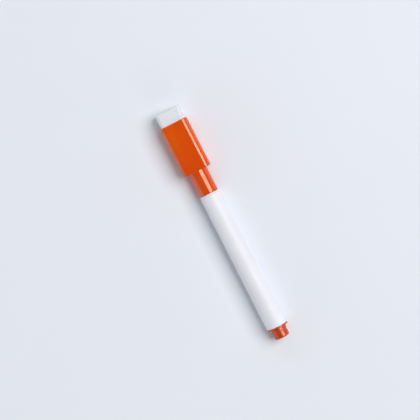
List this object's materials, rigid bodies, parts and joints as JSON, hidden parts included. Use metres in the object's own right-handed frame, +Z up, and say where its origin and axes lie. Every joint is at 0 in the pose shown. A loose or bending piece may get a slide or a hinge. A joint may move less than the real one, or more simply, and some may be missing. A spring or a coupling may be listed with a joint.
{
  "type": "whiteboard marker",
  "caption": "Slim whiteboard marker with a white barrel, an orange rear plug and a push-on orange cap that carries a felt eraser block and a flat magnet.",
  "frame": {"origin": "on the surface the marker lies on, below the middle of its capped length (centre of the bottom of its box)", "axes": "+X along the marker's axis from the tail to the nib and the eraser, +Z up away from the surface and the magnet, axis of the pen at z = 6.5 mm"},
  "size_m": [0.151, 0.0176, 0.013],
  "materials": {
    "orange_plastic": "glossy moulded plastic",
    "white_plastic": "semi-gloss moulded plastic",
    "inner_cap_plastic": "waxy soft plastic",
    "clear_film": "clear film",
    "ink_fibre": "fibre bundle soaked with ink",
    "nib_fibre": "bonded fibre, inked",
    "white_felt": "pressed felt",
    "flexible_magnet": "matt magnetic sheet",
    "adhesive": "double-sided adhesive"
  },
  "bodies": {
    "pen": {"barrel": "white_plastic", "front_section": "white_plastic", "rear_plug": "orange_plastic", "nib": "nib_fibre", "ink_core": "ink_fibre", "core_film": "clear_film"},
    "cap_liner": {"inner_cap": "inner_cap_plastic"},
    "cap": {"cap_body": "orange_plastic", "magnet": "flexible_magnet", "magnet_adhesive": "adhesive", "eraser_pad": "white_felt", "eraser_adhesive": "adhesive"}
  },
  "joints": [
    {"name": "cap_pull", "type": "slide", "parent": "pen", "child": "cap_liner", "axis": [1, 0, 0], "range_m": [0, 0.045]},
    {"name": "cap_turn", "type": "hinge", "parent": "cap_liner", "child": "cap", "pos_m": [0.0492, 0, 0.0065], "axis": [1, 0, 0], "continuous": true}
  ]
}
